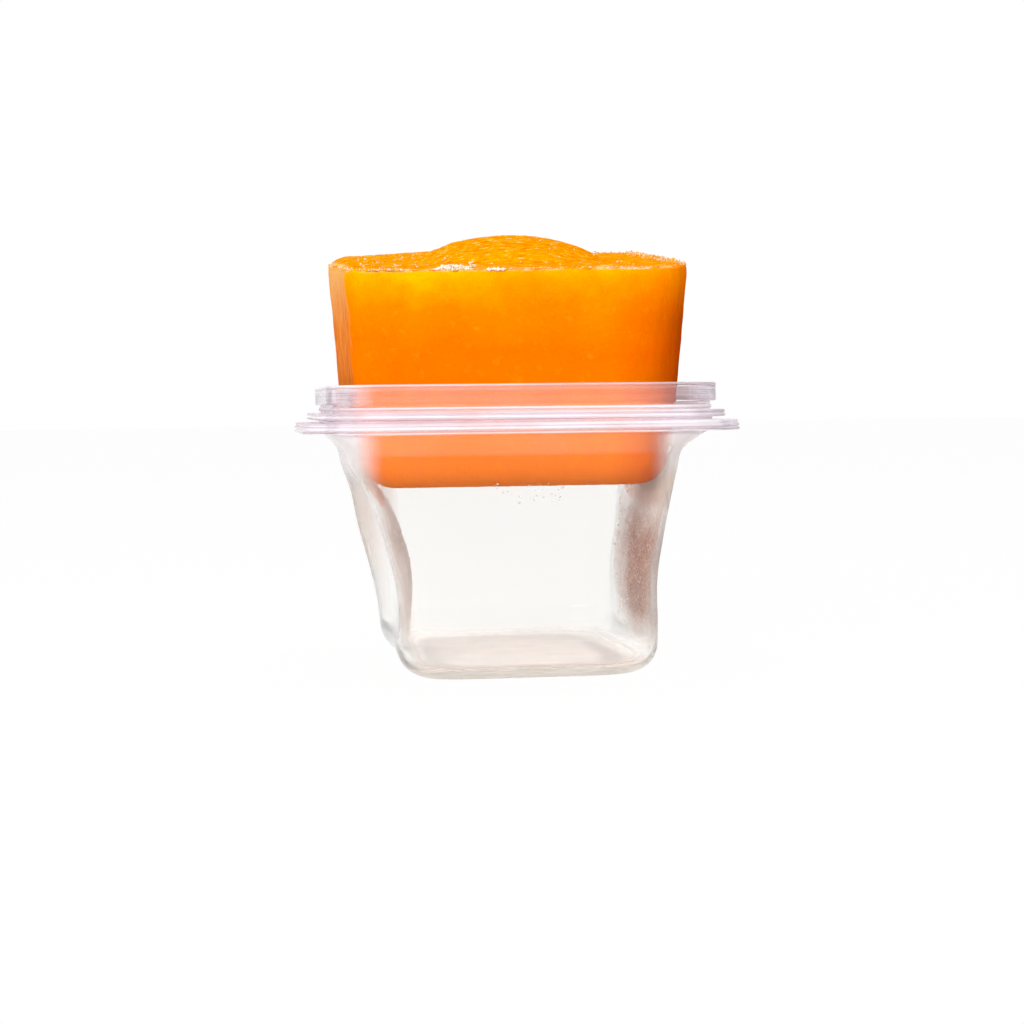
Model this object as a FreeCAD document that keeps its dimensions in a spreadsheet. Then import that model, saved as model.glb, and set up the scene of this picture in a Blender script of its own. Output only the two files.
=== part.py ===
"""Square baby food freezer cup, squeezed by hand so that its frozen block slides up and out.

Frame: +Z up, origin on the surface that the cup stands on, under the middle of its rim.
X runs across the two walls that are squeezed, Y runs from the front wall (-Y) to the back.
All sizes are millimetres.
"""
import FreeCAD, Part
import Sketcher
import math
import os

SIZES = {
    # rim, all of it square in plan with rounded corners
    "rim_top": 62.0,
    "collar_height": 3.9,
    "collar_half": 41.4,
    "collar_corner": 13.0,
    "neck_wall": 1.0,
    "ledge_below_top": 5.7,
    "ledge_thick": 1.5,
    "ledge_half": 43.4,
    "flange_below_top": 7.9,
    "flange_thick": 2.2,
    "flange_half": 46.4,
    "flange_groove_deep": 0.8,
    "flange_groove_wide": 0.3,
    "mouth_half": 39.6,
    "mouth_corner": 11.2,
    # thin squeezed body
    "wall": 0.9,
    "floor_thick": 1.2,
    "foot_tall": 0.8,
    "foot_wide": 4.0,
    "heel_radius": 6.4,
    "base_half_depth": 37.3,
    "root_half_depth": 40.9,
    "squareness": 7.0,
    "squeezed_half": 28.45,
    "cove_reach": 0.3,
    # frozen block
    "block_side_room": 0.65,
    "block_taper_deg": 4.5,
    "block_corner": 8.5,
    "block_foot_radius": 6.8,
    "block_front_tall": 46.3,
    "block_back_tall": 53.7,
    "block_top_roll_deg": 0.7,
    "block_edge_radius": 0.8,
    "block_sits_above_bottom": 3.4,
    "rest_gap": 0.6,
    "dome_half_wide": 25.2,
    "dome_half_tall": 12.3,
    "dome_above_top": 5.3,
    "dome_off_middle": 2.3,
}

# Each station is a level of the body: its height, how much wider than the squeezed base it is
# on each side, how far the fingers press the -X wall in, how far the thumb presses the +X wall
# in, its shift along X, and how much wider still each side is at the back, where no hand
# presses. The root's width comes from the rim and the grip's pinch from the block that it holds.
STATION_COLUMNS = ("height", "flare", "finger_pinch", "thumb_pinch", "shift", "back_spread")
STATIONS = {
    "base": (0.0, 0.0, 1.2, 0.6, 0.9, 0.0),
    "heel": (11.0, 0.0, 3.0, 1.5, 0.95, 1.5),
    "waist": (20.0, 0.7, 5.5, 2.8, 0.25, 2.8),
    "belly": (30.0, 2.8, 6.0, 3.2, -0.35, 2.8),
    "chest": (38.0, 4.85, 4.6, 3.6, -0.75, 1.2),
    "grip": (43.6, 6.25, 0.0, 0.0, -1.1, 0.4),
    "shoulder": (48.5, 7.75, 0.1, 0.1, -1.0, 0.2),
    "root": (52.2, 0.0, 0.0, 0.0, 0.0, 0.0),
}
BLOCK_HALF = "(sizes.squeezed_half + sizes.grip_flare - sizes.wall - sizes.block_side_room)"
TILT_AXIS = FreeCAD.Vector(-1, 0, 0)
OUTLINE_POINTS = 40
HEEL_STEPS = 4
OVERRUN = 5.0

doc = FreeCAD.newDocument("freezer_cup")
sheet = doc.addObject("Spreadsheet::Sheet", "sizes")


def fill_sheet():
    """Put every driving size in the sheet, one named cell each."""
    named = dict(SIZES)
    for station, values in STATIONS.items():
        for column, value in zip(STATION_COLUMNS, values):
            named[station + "_" + column] = value
    for row, (name, value) in enumerate(named.items(), start=1):
        sheet.set("A%d" % row, name)
        sheet.set("B%d" % row, str(value))
        sheet.setAlias("B%d" % row, name)
    doc.recompute()


def size(name):
    """A driving size, read from the sheet."""
    return float(sheet.get(name))


def worked_out(expression):
    """The value of an expression in the sheet's names."""
    return float(sheet.evalExpression(expression))


# ---------------------------------------------------------------- squeezed body


def block_half_at(rise):
    """Half width of the frozen block, this far above its underside."""
    radius = size("block_foot_radius")
    half = worked_out(BLOCK_HALF) + rise * math.tan(math.radians(size("block_taper_deg")))
    if rise >= radius:
        return half
    return half - radius + math.sqrt(radius ** 2 - (radius - rise) ** 2)


def station(name):
    """One station's values, with the grip closed on the rounded foot of the block."""
    values = {column: size(name + "_" + column) for column in STATION_COLUMNS}
    values["half_width"] = size("squeezed_half") + values["flare"]
    if name == "root":
        values["half_width"] = size("mouth_half") + size("neck_wall") + size("cove_reach")
    if name == "grip":
        held = block_half_at(size("block_sits_above_bottom")) + size("rest_gap")
        closing = values["half_width"] - size("wall") - held
        values["finger_pinch"] = max(closing, 0.0)
        values["thumb_pinch"] = max(closing, 0.0)
    return values


def half_depth_at(height):
    """Half depth of the body at a height: straight from the base to the root of the rim."""
    share = height / size("root_height")
    return size("base_half_depth") + share * (size("root_half_depth") - size("base_half_depth"))


def outline(values, height, inset):
    """Closed smooth outline: a rounded square, its X walls pressed in and spread at the back."""
    half_x = values["half_width"] - inset
    half_y = half_depth_at(values["height"]) - inset
    power = size("squareness")
    points = []
    for step in range(OUTLINE_POINTS):
        turn = 2 * math.pi * step / OUTLINE_POINTS
        along_x = math.cos(turn)
        along_y = math.sin(turn)
        reach = (abs(along_x / half_x) ** power + abs(along_y / half_y) ** power) ** (-1 / power)
        x = reach * along_x
        y = reach * along_y
        pinch = values["thumb_pinch"] if x > 0 else values["finger_pinch"]
        pressed = pinch * math.cos(math.pi * y / (2 * half_y)) ** 2
        spread = values["back_spread"] * max(y / half_y, 0.0) ** 2
        x *= 1 + (spread - pressed) / half_x
        points.append(FreeCAD.Vector(x + values["shift"], y, height))
    curve = Part.BSplineCurve()
    curve.interpolate(Points=points, PeriodicFlag=True)
    return Part.Wire([curve.toShape()])


def heel_outlines(bottom, radius, inset):
    """Outlines of the rounded bottom edge, from the flat bottom up to the wall."""
    outlines = []
    for step in range(HEEL_STEPS + 1):
        turn = math.pi / 2 * step / HEEL_STEPS
        height = bottom + radius * (1 - math.cos(turn))
        outlines.append(outline(station("base"), height, inset + radius * (1 - math.sin(turn))))
    return outlines


def body_solid(label, bottom, radius, inset):
    """Smooth solid through every station, set in from the outer surface by inset."""
    outlines = heel_outlines(bottom, radius, inset)
    for name in list(STATIONS)[1:]:
        values = station(name)
        outlines.append(outline(values, values["height"], inset))
    feature = doc.addObject("Part::Feature", label)
    feature.Shape = Part.makeLoft(outlines, True, False)
    return feature


def recess_solid():
    """Shallow recess under the floor, which leaves a foot around it."""
    inset = size("heel_radius") + size("foot_wide")
    face = Part.Face(outline(station("base"), -OVERRUN, inset))
    feature = doc.addObject("Part::Feature", "foot_recess")
    feature.Shape = face.extrude(FreeCAD.Vector(0, 0, OVERRUN + size("foot_tall")))
    return feature


# ---------------------------------------------------------------- sketches and rings


def origin_plane(body, role):
    """One of the body's own origin planes."""
    return next(item for item in body.Origin.OriginFeatures if item.Role == role)


def level_sketch(body, label, height):
    """Empty sketch on the body's XY plane, raised to a height given as an expression."""
    sketch = body.newObject("Sketcher::SketchObject", label)
    sketch.AttachmentSupport = [(origin_plane(body, "XY_Plane"), "")]
    sketch.MapMode = "FlatFace"
    sketch.setExpression("AttachmentOffset.Base.z", height)
    return sketch


def rounded_square(sketch, half, corner):
    """Draw a rounded square about the sketch's origin, its size and corner bound to the sheet."""
    start_half = worked_out(half)
    start_corner = worked_out(corner)
    flat = start_half - start_corner
    corners = ((1, 1), (-1, 1), (-1, -1), (1, -1))
    up = FreeCAD.Vector(0, 0, 1)
    arcs = []
    for index, (side_x, side_y) in enumerate(corners):
        centre = FreeCAD.Vector(side_x * flat, side_y * flat, 0)
        circle = Part.Circle(centre, up, start_corner)
        start = index * math.pi / 2
        arcs.append(sketch.addGeometry(Part.ArcOfCircle(circle, start, start + math.pi / 2)))
    lines = []
    for index in range(4):
        begin = sketch.Geometry[arcs[index]].EndPoint
        end = sketch.Geometry[arcs[(index + 1) % 4]].StartPoint
        lines.append(sketch.addGeometry(Part.LineSegment(begin, end)))
    for index in range(4):
        following = arcs[(index + 1) % 4]
        sketch.addConstraint(Sketcher.Constraint("Tangent", arcs[index], 2, lines[index], 1))
        sketch.addConstraint(Sketcher.Constraint("Tangent", lines[index], 2, following, 1))
    for index, direction in enumerate(("Horizontal", "Vertical", "Horizontal", "Vertical")):
        sketch.addConstraint(Sketcher.Constraint(direction, lines[index]))
    for arc in arcs[1:]:
        sketch.addConstraint(Sketcher.Constraint("Equal", arcs[0], arc))
    radius = sketch.addConstraint(Sketcher.Constraint("Radius", arcs[0], start_corner))
    sketch.setExpression("Constraints[%d]" % radius, corner)
    for line, kind, sign in ((0, "DistanceY", 1), (1, "DistanceX", -1),
                             (2, "DistanceY", -1), (3, "DistanceX", 1)):
        reach = sketch.addConstraint(
            Sketcher.Constraint(kind, -1, 1, lines[line], 1, sign * start_half))
        sketch.setExpression("Constraints[%d]" % reach, ("" if sign > 0 else "-") + "(%s)" % half)


def square_slab(body, label, half, corner, low, high):
    """Pad a rounded square from one height to another; every argument is an expression."""
    sketch = level_sketch(body, label + "_outline", low)
    rounded_square(sketch, half, corner)
    pad = body.newObject("PartDesign::Pad", label)
    pad.Profile = sketch
    pad.setExpression("Length", "(%s) - (%s)" % (high, low))
    return pad


def rim_body():
    """The rim's solid outside: collar, neck, lid ledge and layered flange."""
    body = doc.addObject("PartDesign::Body", "rim_outside")
    top = "sizes.rim_top"
    corner = "sizes.collar_corner"
    flange_top = "sizes.rim_top - sizes.flange_below_top"
    flange_low = flange_top + " - sizes.flange_thick"
    groove_mid = flange_top + " - sizes.flange_thick / 2"
    neck = "sizes.mouth_half + sizes.neck_wall"
    beyond = " + sizes.%s - sizes.collar_half"
    square_slab(body, "neck", neck, corner + " - sizes.collar_half + " + neck, flange_low, top)
    square_slab(body, "collar", "sizes.collar_half", corner, top + " - sizes.collar_height", top)
    square_slab(body, "lid_ledge", "sizes.ledge_half", corner + beyond % "ledge_half",
                top + " - sizes.ledge_below_top - sizes.ledge_thick",
                top + " - sizes.ledge_below_top")
    layers = (("flange_lower", flange_low, groove_mid + " - sizes.flange_groove_wide / 2", ""),
              ("flange_upper", groove_mid + " + sizes.flange_groove_wide / 2", flange_top, ""),
              ("flange_middle", flange_low, flange_top, " - sizes.flange_groove_deep"))
    for label, low, high, inset in layers:
        square_slab(body, label, "sizes.flange_half" + inset,
                    corner + beyond % "flange_half" + inset, low, high)
    return body


def mouth_body():
    """The straight hollow inside the rim."""
    body = doc.addObject("PartDesign::Body", "mouth_hollow")
    square_slab(body, "mouth", "sizes.mouth_half", "sizes.mouth_corner",
                "sizes.root_height - 0.01", "sizes.rim_top + %s" % OVERRUN)
    return body


def join(label, *pieces):
    """Fuse several solids into one."""
    fused = doc.addObject("Part::MultiFuse", label)
    fused.Shapes = list(pieces)
    return fused


def freezer_cup():
    """The cup: one moulding, its outside less its hollow and the recess under its floor."""
    outside = join("cup_outside", body_solid("body_outside", 0.0, size("heel_radius"), 0.0),
                   rim_body())
    floor_top = size("foot_tall") + size("floor_thick")
    inner_radius = size("heel_radius") - size("wall")
    hollow = join("cup_hollow",
                  body_solid("body_hollow", floor_top, inner_radius, size("wall")),
                  mouth_body(), recess_solid())
    cup = doc.addObject("Part::Cut", "freezer_cup")
    cup.Base = outside
    cup.Tool = hollow
    return cup


# ---------------------------------------------------------------- frozen block


def side_edges_at(shape, height):
    """Names of the edges that lie flat at this height of a feature's shape."""
    names = []
    for index, edge in enumerate(shape.Edges, start=1):
        box = edge.BoundBox
        if abs(box.ZMin - height) < 0.01 and abs(box.ZMax - height) < 0.01:
            names.append("Edge%d" % index)
    return names


def top_edges(shape):
    """Names of the edges around the sloping top face."""
    top = max(shape.Faces, key=lambda face: face.CenterOfMass.z)
    return ["Edge%d" % index for index, edge in enumerate(shape.Edges, start=1)
            if any(edge.isSame(other) for other in top.Edges)]


def puree_block():
    """The frozen block: tapered, round-footed, its top a slope up to the back with a dome."""
    body = doc.addObject("PartDesign::Body", "puree_block")
    body.setExpression("Placement.Base.x", "sizes.grip_shift")
    body.setExpression("Placement.Base.z", "sizes.grip_height - sizes.block_sits_above_bottom")
    widen = " + %s * tan(sizes.block_taper_deg * 1deg)"
    tall = "(sizes.block_back_tall + %s)" % OVERRUN
    foot = level_sketch(body, "foot_outline", "0")
    rounded_square(foot, BLOCK_HALF, "sizes.block_corner")
    head = level_sketch(body, "head_outline", tall)
    rounded_square(head, BLOCK_HALF + widen % tall, "sizes.block_corner")
    loft = body.newObject("PartDesign::AdditiveLoft", "tapered_block")
    loft.Profile = foot
    loft.Sections = [head]
    loft.Ruled = True
    doc.recompute()

    slope = body.newObject("Sketcher::SketchObject", "top_slope_outline")
    slope.AttachmentSupport = [(origin_plane(body, "YZ_Plane"), "")]
    slope.MapMode = "FlatFace"
    slope.AttachmentOffset = FreeCAD.Placement(FreeCAD.Vector(), FreeCAD.Rotation(TILT_AXIS, 1))
    slope.setExpression("AttachmentOffset.Rotation.Angle", "sizes.block_top_roll_deg * 1deg")
    far = 2 * worked_out(BLOCK_HALF)
    low = 2 * size("block_front_tall") - size("block_back_tall")
    high = 2 * size("block_back_tall") - size("block_front_tall")
    lid = 2 * size("block_back_tall")
    points = [(-far, low), (far, high), (far, lid), (-far, lid)]
    for index, begin in enumerate(points):
        end = points[(index + 1) % len(points)]
        slope.addGeometry(Part.LineSegment(FreeCAD.Vector(*begin, 0), FreeCAD.Vector(*end, 0)))
    for index in range(4):
        slope.addConstraint(Sketcher.Constraint("Coincident", index, 2, (index + 1) % 4, 1))
    for index, direction in ((1, "Vertical"), (2, "Horizontal"), (3, "Vertical")):
        slope.addConstraint(Sketcher.Constraint(direction, index))
    middle = "(sizes.block_back_tall + sizes.block_front_tall) / 2"
    reach = "2 * " + BLOCK_HALF
    places = (("DistanceX", 0, 1, -far, "-" + reach), ("DistanceX", 0, 2, far, reach),
              ("DistanceY", 0, 1, low, "2 * sizes.block_front_tall - %s" % middle),
              ("DistanceY", 0, 2, high, "2 * sizes.block_back_tall - %s" % middle),
              ("DistanceY", 2, 1, lid, "2 * sizes.block_back_tall"))
    for kind, line, end, start, expression in places:
        index = slope.addConstraint(Sketcher.Constraint(kind, -1, 1, line, end, start))
        slope.setExpression("Constraints[%d]" % index, expression)
    cut = body.newObject("PartDesign::Pocket", "top_slope")
    cut.Profile = slope
    cut.Type = "Length"
    cut.Midplane = True
    cut.setExpression("Length", "6 * " + BLOCK_HALF)
    doc.recompute()
    if cut.Shape.Volume >= loft.Shape.Volume:
        raise RuntimeError("the slope cut nothing off the block")

    rounding = body.newObject("PartDesign::Fillet", "round_foot")
    rounding.Base = (cut, side_edges_at(cut.Shape, 0.0))
    rounding.setExpression("Radius", "min(sizes.block_foot_radius; 0.9 * sizes.block_corner)")
    doc.recompute()

    softening = body.newObject("PartDesign::Fillet", "soft_top_edge")
    softening.Base = (rounding, top_edges(rounding.Shape))
    softening.setExpression("Radius", "sizes.block_edge_radius")
    doc.recompute()

    dome = body.newObject("PartDesign::AdditiveEllipsoid", "dome")
    dome.setExpression("Radius1", "sizes.dome_half_tall")
    dome.setExpression("Radius2", "sizes.dome_half_wide")
    dome.setExpression("Radius3", "sizes.dome_half_wide")
    dome.setExpression("Placement.Base.x", "sizes.dome_off_middle")
    dome.setExpression("Placement.Base.z",
                       middle + " + sizes.dome_above_top - sizes.dome_half_tall")
    body.Tip = dome
    return body


# ---------------------------------------------------------------- build and write


def check(piece):
    """Stop if a sub-part is missing, broken or not one solid."""
    shape = piece.Shape
    if shape.isNull() or not shape.isValid() or len(shape.Solids) != 1:
        raise RuntimeError("%s is not one valid solid" % piece.Label)


fill_sheet()
pieces = [freezer_cup(), puree_block()]
doc.recompute()
for item in doc.Objects:
    if "Invalid" in item.State or "Error" in item.State:
        raise RuntimeError("%s failed: %s" % (item.Label, item.State))
os.makedirs("parts", exist_ok=True)
for piece in pieces:
    check(piece)
    piece.Shape.exportStep("parts/%s.step" % piece.Label)
    print("%s: %.0f mm3" % (piece.Label, piece.Shape.Volume))
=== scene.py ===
import math

import bmesh
import bpy
import numpy as np
from mathutils import Matrix, Vector


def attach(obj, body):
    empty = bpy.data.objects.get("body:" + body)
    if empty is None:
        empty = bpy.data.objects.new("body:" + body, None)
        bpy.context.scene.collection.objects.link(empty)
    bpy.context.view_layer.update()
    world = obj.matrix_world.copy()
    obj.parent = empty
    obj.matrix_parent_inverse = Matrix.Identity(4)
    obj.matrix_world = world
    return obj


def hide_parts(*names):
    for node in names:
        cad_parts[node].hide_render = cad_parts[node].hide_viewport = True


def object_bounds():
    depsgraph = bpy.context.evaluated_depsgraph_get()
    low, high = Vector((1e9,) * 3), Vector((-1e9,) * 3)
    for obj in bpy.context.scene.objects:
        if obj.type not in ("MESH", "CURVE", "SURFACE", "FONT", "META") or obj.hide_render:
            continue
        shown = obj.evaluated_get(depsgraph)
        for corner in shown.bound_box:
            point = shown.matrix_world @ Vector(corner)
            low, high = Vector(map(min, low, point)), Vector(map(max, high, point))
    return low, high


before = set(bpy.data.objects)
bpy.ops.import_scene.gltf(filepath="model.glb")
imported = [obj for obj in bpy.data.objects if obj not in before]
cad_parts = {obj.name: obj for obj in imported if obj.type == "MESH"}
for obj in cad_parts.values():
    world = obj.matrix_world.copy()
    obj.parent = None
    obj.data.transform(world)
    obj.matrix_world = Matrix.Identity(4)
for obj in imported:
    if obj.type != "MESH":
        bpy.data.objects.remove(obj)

CAD_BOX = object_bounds()
MM = 0.001

# ---------------------------------------------------------------- the cup's sizes, in mm

RIM_TOP = 62.0
COLLAR_HALF = 41.4
COLLAR_CORNER = 13.0
COLLAR_LOW = 58.1
LEDGE_HALF = 43.4
LEDGE_LOW, LEDGE_TOP = 54.8, 56.3
LEDGE_UNDERCUT = 0.15
FLANGE_HALF = 46.4
FLANGE_LOW, FLANGE_TOP = 51.9, 54.1
NECK_HALF = 40.6
NECK_ROOT_HALF = 40.7
NECK_IN = 40.15
BEAD_HALF = 40.55
BEAD_LOW, BEAD_TOP = 56.7, 57.6
MOUTH_HALF = 39.6
MOUTH_LOW = 53.5
RIM_ROUNDING = 0.28
# The rim's moulded edges from the bottom up: how far in from the widest place, and height.
FLANGE_EDGE = ((0.0, FLANGE_LOW), (0.0, 52.55), (0.35, 52.65), (0.05, 52.8), (0.05, 53.3),
               (0.5, 53.4), (0.3, 53.55), (0.3, FLANGE_TOP))
LEDGE_EDGE = ((0.0, LEDGE_LOW), (0.0, 55.45), (0.35, 55.55), (0.1, 55.7), (0.1, LEDGE_TOP))
COLLAR_EDGE = ((0.0, COLLAR_LOW), (0.0, 61.0), (0.2, 61.1), (0.0, 61.2), (0.0, RIM_TOP))

WALL = 0.9
FLOOR_TOP = 2.0
FOOT_TALL = 0.8
FOOT_WIDE = 4.0
FOOT_ROUNDING = 0.1
HEEL_RADIUS = 6.4
BASE_HALF_DEPTH = 37.3
ROOT_HALF_DEPTH = 40.9
ROOT_HEIGHT = 52.2
SQUARENESS = 7.0
OUTER_TOP = 51.2          # where the outer wall starts to turn out into the flange
INNER_TOP = 50.5          # where the inner wall starts to turn out into the mouth
# How the outer wall turns out: share of the flange's shape, and share of the way up to it.
TURN_OUT = ((0.25, 0.42), (0.5, 0.66), (0.75, 0.8))
MOUTH_TURN = (0.25, 0.5, 0.75)    # shares of the way from the mouth to the inner wall

# Height, half width, finger pinch (-X wall), thumb pinch (+X wall), shift along X, and how much
# wider each side is at the back.
STATIONS = (
    (0.0, 28.45, 1.2, 0.6, 0.9, 0.0),
    (11.0, 28.45, 3.0, 1.5, 0.95, 1.5),
    (20.0, 29.15, 5.5, 2.8, 0.25, 2.8),
    (30.0, 31.25, 6.0, 3.2, -0.35, 2.8),
    (38.0, 33.3, 4.6, 3.6, -0.75, 1.2),
    (43.6, 34.7, 0.7, 0.7, -1.1, 0.4),
    (48.5, 36.2, 0.1, 0.1, -1.0, 0.2),
    (52.2, 40.9, 0.0, 0.0, 0.0, 0.0),
)

AROUND_CUP = 288          # points in each ring of the cup
OUTER_LEVELS, INNER_LEVELS = 44, 42
# Insets of the flat rings that close the underside and the floor.
UNDER_RINGS = (26, 20, 14)
FLOOR_RINGS = (12, 18, 24)

# ---------------------------------------------------------------- the block's sizes, in mm

BLOCK_HALF = 33.15
BLOCK_TAPER = math.tan(math.radians(4.5))
BLOCK_CORNER = 8.5
BLOCK_FOOT = 6.8
BLOCK_FOOT_CORNER = 1.2
BLOCK_FRONT = 46.3
BLOCK_BACK = 53.7
BLOCK_ROLL = math.tan(math.radians(0.7))
BLOCK_LOW = 40.2
BLOCK_SHIFT = -1.1
BLOCK_EDGE = 0.9          # rounding of the top edge
DOME_WIDE = 25.2
DOME_TALL = 12.3
DOME_ABOVE = 5.3
DOME_SHIFT = 2.3
DOME_SHARP = 1.8          # how sharply the dome leaves the slope
# How the back edge of the block's top rises and falls: place along X, and rise.
BACK_RISE = ((-37.5, -1.7), (-32.6, -0.1), (-13.0, 0.9), (0.0, 0.9), (10.0, 0.0))
BACK_RISE_START, BACK_RISE_RUN = -10, 35
BLOCK_PLACE = np.array([BLOCK_SHIFT, 0, BLOCK_LOW])

AROUND_BLOCK = 720        # points in each ring of the block
FOOT_LEVELS, SIDE_LEVELS, EDGE_LEVELS, TOP_RINGS = 12, 110, 5, 72
UNDER_SHARES = (0.3, 0.6, 0.85)

RIM_CROSSING, RIM_CROSSING_FADE = 24, 6   # height above the underside where the rim ends
CRUMBLY_TALL, CRUMBLY_WIDE = 2.2, 3       # how far the crumbly edge reaches down and in
FROSTY_TALL, FROSTY_WIDE = 0.7, 2         # and its frost
ALONG_X, ALONG_Z = np.array([0.25, 1, 1]), np.array([1, 1, 0.22])     # stretch of a noise

# ---------------------------------------------------------------- camera

CAM_DISTANCE = 0.450      # from the cup's axis
CAM_AZIMUTH = 7.7         # degrees to the object's left
CAM_HEIGHT = 0.0574
FOCAL_PX = 1993.7
AXIS_PX = 506.0           # where the cup's axis stands in the picture
HORIZON_PX = 405.9
ROLL = -0.656
FRAME_PX = 1024


def add_camera():
    """The photograph's viewpoint: level with the rim, a little to the left."""
    half = FRAME_PX / 2
    azimuth = math.radians(CAM_AZIMUTH)
    turn = azimuth + math.atan((half - AXIS_PX) / FOCAL_PX)
    pitch = math.atan((half - HORIZON_PX) / FOCAL_PX)
    flat = Vector((math.sin(turn), math.cos(turn), 0))
    forward = flat * math.cos(pitch) - Vector((0, 0, math.sin(pitch)))
    right = Vector((flat.y, -flat.x, 0))
    up = right.cross(forward)
    roll = math.radians(ROLL)
    right, up = (right * math.cos(roll) + up * math.sin(roll),
                 up * math.cos(roll) - right * math.sin(roll))
    data = bpy.data.cameras.new("camera")
    data.sensor_width = 36.0
    data.lens = FOCAL_PX / FRAME_PX * data.sensor_width
    data.clip_start = 0.01
    camera = bpy.data.objects.new("camera", data)
    place = Matrix((right, up, -forward)).transposed().to_4x4()
    place.translation = Vector((-math.sin(azimuth) * CAM_DISTANCE,
                                -math.cos(azimuth) * CAM_DISTANCE, CAM_HEIGHT))
    camera.matrix_world = place
    bpy.context.collection.objects.link(camera)
    bpy.context.scene.camera = camera


# ---------------------------------------------------------------- mesh helpers

NOISE_OCTAVES = 3
NOISE_WAVES = 14          # waves added up in each octave
NOISE_RATE = 2.2          # how fast the waves turn over one scale
NOISE_FINER, NOISE_WEAKER = 2.1, 0.5      # each octave against the one before it
NOISE_GAIN, NOISE_SUM = 2.6, 1.7          # bring an octave, and their sum, to about -1 to 1


def smooth_noise(points, scale, seed):
    """Smooth repeatable noise, about -1 to 1, at an array of points (millimetres)."""
    rng = np.random.default_rng(seed)
    total = np.zeros(len(points))
    weight = 1.0
    for _ in range(NOISE_OCTAVES):
        waves = rng.normal(size=(NOISE_WAVES, 3)) * NOISE_RATE / scale
        phases = rng.uniform(0, 2 * math.pi, NOISE_WAVES)
        total += weight * np.sin(points @ waves.T + phases).mean(axis=1) * NOISE_GAIN
        scale /= NOISE_FINER
        weight *= NOISE_WEAKER
    return total / NOISE_SUM


def smooth_object(name, points, faces):
    """A smooth-shaded mesh object from points in millimetres."""
    mesh = bpy.data.meshes.new(name)
    mesh.from_pydata((points * MM).tolist(), [], faces)
    mesh.polygons.foreach_set("use_smooth", [True] * len(mesh.polygons))
    mesh.update()
    piece = bpy.data.objects.new(name, mesh)
    bpy.context.collection.objects.link(piece)
    return piece


def object_from_loops(name, loops):
    """A closed mesh from rings of equally many points, each an (n, 3) array in millimetres."""
    rings, around = len(loops), len(loops[0])
    index = np.arange(rings * around).reshape(rings, around)
    following = np.roll(index, -1, axis=1)
    quads = np.stack([index[:-1], following[:-1], following[1:], index[1:]], axis=-1)
    faces = quads.reshape(-1, 4).tolist()
    points = np.concatenate([*loops, loops[0].mean(axis=0)[None], loops[-1].mean(axis=0)[None]])
    first, last = len(points) - 2, len(points) - 1
    for step in range(around):
        after = (step + 1) % around
        faces.append([first, int(index[0, after]), int(index[0, step])])
        faces.append([last, int(index[-1, step]), int(index[-1, after])])
    return smooth_object(name, points, faces)


def read_vectors(mesh, name):
    """One vector of each of the mesh's points, as an (n, 3) array."""
    values = np.empty(len(mesh.vertices) * 3)
    mesh.vertices.foreach_get(name, values)
    return values.reshape(-1, 3)


def store(mesh, name, values):
    """Keep one number for each point, which the material reads by name."""
    mesh.attributes.new(name, "FLOAT", "POINT").data.foreach_set("value", values)


def turns(count):
    return 2 * math.pi * np.arange(count) / count


def ring(x, y, z):
    """Points from their places along X and Y, at one height or each at its own."""
    return np.stack([x, y, np.full_like(x, z)], axis=1)


def rounded_square(half, corner, turn):
    """Points of a rounded square, one on each ray from its middle."""
    c, s = np.cos(turn), np.sin(turn)
    big, small = np.maximum(abs(c), abs(s)), np.minimum(abs(c), abs(s))
    reach = half / big
    flat = half - corner
    on_corner = reach * small > flat
    along = flat * (big + small)
    arc = along + np.sqrt(np.maximum(along ** 2 - (2 * flat ** 2 - corner ** 2), 0))
    reach = np.where(on_corner, arc, reach)
    return reach * c, reach * s


# ---------------------------------------------------------------- the cup


def station_at(height):
    """One row of the stations' sizes at a height, on a smooth curve through them."""
    table = np.array(STATIONS)
    heights = table[:, 0]
    values = table[:, 1:]
    slopes = np.gradient(values, heights, axis=0)
    height = min(max(height, heights[0]), heights[-1])
    k = min(int(np.searchsorted(heights, height, side="right")) - 1, len(heights) - 2)
    span = heights[k + 1] - heights[k]
    t = (height - heights[k]) / span
    return ((2 * t ** 3 - 3 * t ** 2 + 1) * values[k]
            + (t ** 3 - 2 * t ** 2 + t) * span * slopes[k]
            + (3 * t ** 2 - 2 * t ** 3) * values[k + 1]
            + (t ** 3 - t ** 2) * span * slopes[k + 1])


def body_loop(height, inset=0.0, at=None, turn=None):
    """One level of the squeezed body, set in from its outer surface."""
    turn = turns(AROUND_CUP) if turn is None else turn
    level = height if at is None else at
    half_width, finger, thumb, shift, spread = station_at(level)
    share = level / ROOT_HEIGHT
    half_depth = BASE_HALF_DEPTH + share * (ROOT_HALF_DEPTH - BASE_HALF_DEPTH) - inset
    half_width -= inset
    c, s = np.cos(turn), np.sin(turn)
    reach = (abs(c / half_width) ** SQUARENESS + abs(s / half_depth) ** SQUARENESS)
    reach = reach ** (-1 / SQUARENESS)
    x, y = reach * c, reach * s
    pinch = np.where(x > 0, thumb, finger)
    pressed = pinch * np.cos(math.pi * y / (2 * half_depth)) ** 2
    opened = spread * np.maximum(y / half_depth, 0) ** 2
    x = x * (1 + (opened - pressed) / half_width) + shift
    return ring(x, y, height)


def rim_loop(half, height):
    """One level of the rim."""
    x, y = rounded_square(half, COLLAR_CORNER + half - COLLAR_HALF, turns(AROUND_CUP))
    return ring(x, y, height)


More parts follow.
